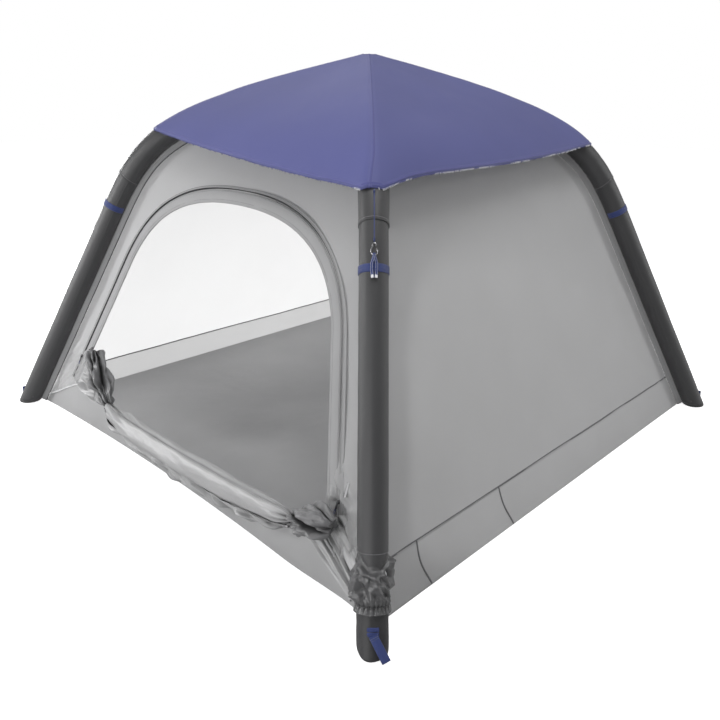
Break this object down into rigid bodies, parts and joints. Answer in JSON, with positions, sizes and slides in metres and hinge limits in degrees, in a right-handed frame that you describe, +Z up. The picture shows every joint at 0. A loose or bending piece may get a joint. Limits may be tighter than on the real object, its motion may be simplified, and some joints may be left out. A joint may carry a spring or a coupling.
{
  "type": "inflatable dome tent",
  "caption": "Square dome tent on inflatable corner legs, with a zipped arch door rolled down, a bathtub floor and a separate blue roof fly hooked over the top.",
  "frame": {"origin": "on the ground under the apex, at the centre of the ground sheet's underside", "axes": "+Z up, +X to the right as one faces the doorway from outside, +Y from the doorway to the back wall"},
  "size_m": [2.3249, 2.3023, 1.5064],
  "materials": {
    "wall_fabric": "light grey woven polyester, faint sheen",
    "sleeve_fabric": "dark grey coated polyester, soft sheen",
    "fly_fabric": "periwinkle blue coated polyester, satin",
    "floor_fabric": "mid grey coated polyester, matte",
    "net_fabric": "pale grey fine mesh",
    "trim_fabric": "grey woven tape",
    "label_fabric": "blank white satin tape",
    "webbing": "navy ribbed polyester webbing",
    "cord": "navy braided polyester cord",
    "bladder": "clear milky film, smooth",
    "hook_metal": "polished steel wire",
    "black_plastic": "fine moulded grain",
    "zip_plastic": "moulded coil zip, satin"
  },
  "bodies": {
    "tent": {"sleeve_front_right": "sleeve_fabric", "air_bladder_front_right": "bladder", "foot_front_right": "sleeve_fabric", "collar_front_right": "sleeve_fabric", "band_front_right": "webbing", "band_loop_front_right": "webbing", "fly_hook_front_right": "hook_metal", "sleeve_back_right": "sleeve_fabric", "air_bladder_back_right": "bladder", "foot_back_right": "sleeve_fabric", "collar_back_right": "sleeve_fabric", "band_back_right": "webbing", "band_loop_back_right": "webbing", "fly_hook_back_right": "hook_metal", "sleeve_back_left": "sleeve_fabric", "air_bladder_back_left": "bladder", "foot_back_left": "sleeve_fabric", "collar_back_left": "sleeve_fabric", "band_back_left": "webbing", "band_loop_back_left": "webbing", "fly_hook_back_left": "hook_metal", "sleeve_front_left": "sleeve_fabric", "air_bladder_front_left": "bladder", "foot_front_left": "sleeve_fabric", "collar_front_left": "sleeve_fabric", "band_front_left": "webbing", "band_loop_front_left": "webbing", "fly_hook_front_left": "hook_metal", "sleeve_hub": "sleeve_fabric", "air_hub": "bladder", "valve_body": "black_plastic", "valve_cuff": "sleeve_fabric", "groundsheet": "floor_fabric", "wall_door": "wall_fabric", "wall_right": "wall_fabric", "wall_back": "wall_fabric", "wall_left": "wall_fabric", "roof_net": "net_fabric", "door_surround": "trim_fabric", "door_zip": "zip_plastic", "door_tie_left": "cord", "door_tie_right": "cord", "rolled_door": "wall_fabric", "care_label": "label_fabric"},
    "fly": {"roof_fly": "fly_fabric", "fly_cord_front_right": "cord", "fly_cord_back_right": "cord", "fly_cord_back_left": "cord", "fly_cord_front_left": "cord"},
    "zip_slider_left": {"zip_slider_left": "zip_plastic"},
    "zip_slider_right": {"zip_slider_right": "zip_plastic"},
    "zip_pull_left": {"zip_pull_left": "zip_plastic"},
    "zip_pull_right": {"zip_pull_right": "zip_plastic"},
    "valve_cap": {"valve_cap": "black_plastic"},
    "valve_plunger": {"valve_plunger": "black_plastic"},
    "peg_loop_front_right": {"peg_loop_front_right": "webbing"},
    "peg_loop_back_right": {"peg_loop_back_right": "webbing"},
    "peg_loop_back_left": {"peg_loop_back_left": "webbing"},
    "peg_loop_front_left": {"peg_loop_front_left": "webbing"}
  },
  "joints": [
    {"name": "fly_lift", "type": "slide", "parent": "tent", "child": "fly", "axis": [0, 0, 1], "range_m": [0, 0.4]},
    {"name": "zip_slider_left_slide", "type": "slide", "parent": "tent", "child": "zip_slider_left", "axis": [0.3233, 0.3441, 0.8815], "range_m": [0, 0.46]},
    {"name": "zip_slider_right_slide", "type": "slide", "parent": "tent", "child": "zip_slider_right", "axis": [-0.3233, 0.3441, 0.8815], "range_m": [0, 0.46]},
    {"name": "zip_pull_left_swing", "type": "hinge", "parent": "zip_slider_left", "child": "zip_pull_left", "pos_m": [-0.8146, -0.95419, 0.26034], "axis": [-1, 0, 0], "range_deg": [0, 100]},
    {"name": "zip_pull_right_swing", "type": "hinge", "parent": "zip_slider_right", "child": "zip_pull_right", "pos_m": [0.8146, -0.95419, 0.26034], "axis": [-1, 0, 0], "range_deg": [0, 100]},
    {"name": "valve_cap_pull", "type": "slide", "parent": "tent", "child": "valve_cap", "axis": [0.619, -0.619, 0.4833], "range_m": [0, 0.012]},
    {"name": "valve_plunger_press", "type": "slide", "parent": "tent", "child": "valve_plunger", "axis": [-0.619, 0.619, -0.4833], "range_m": [0, 0.003], "stiffness_N_per_m": 200},
    {"name": "peg_loop_front_right_swing", "type": "hinge", "parent": "tent", "child": "peg_loop_front_right", "pos_m": [1.11381, -1.11381, 0.06623], "axis": [-0.4639, -0.7848, -0.411], "range_deg": [0, 60]},
    {"name": "peg_loop_back_right_swing", "type": "hinge", "parent": "tent", "child": "peg_loop_back_right", "pos_m": [1.0982, 1.1506, 0.0524], "axis": [1, 0, 0], "range_deg": [0, 60]},
    {"name": "peg_loop_back_left_swing", "type": "hinge", "parent": "tent", "child": "peg_loop_back_left", "pos_m": [-1.0982, 1.1506, 0.0524], "axis": [1, 0, 0], "range_deg": [0, 60]},
    {"name": "peg_loop_front_left_swing", "type": "hinge", "parent": "tent", "child": "peg_loop_front_left", "pos_m": [-1.1506, -1.0982, 0.0524], "axis": [0, 1, 0], "range_deg": [0, 60]}
  ]
}
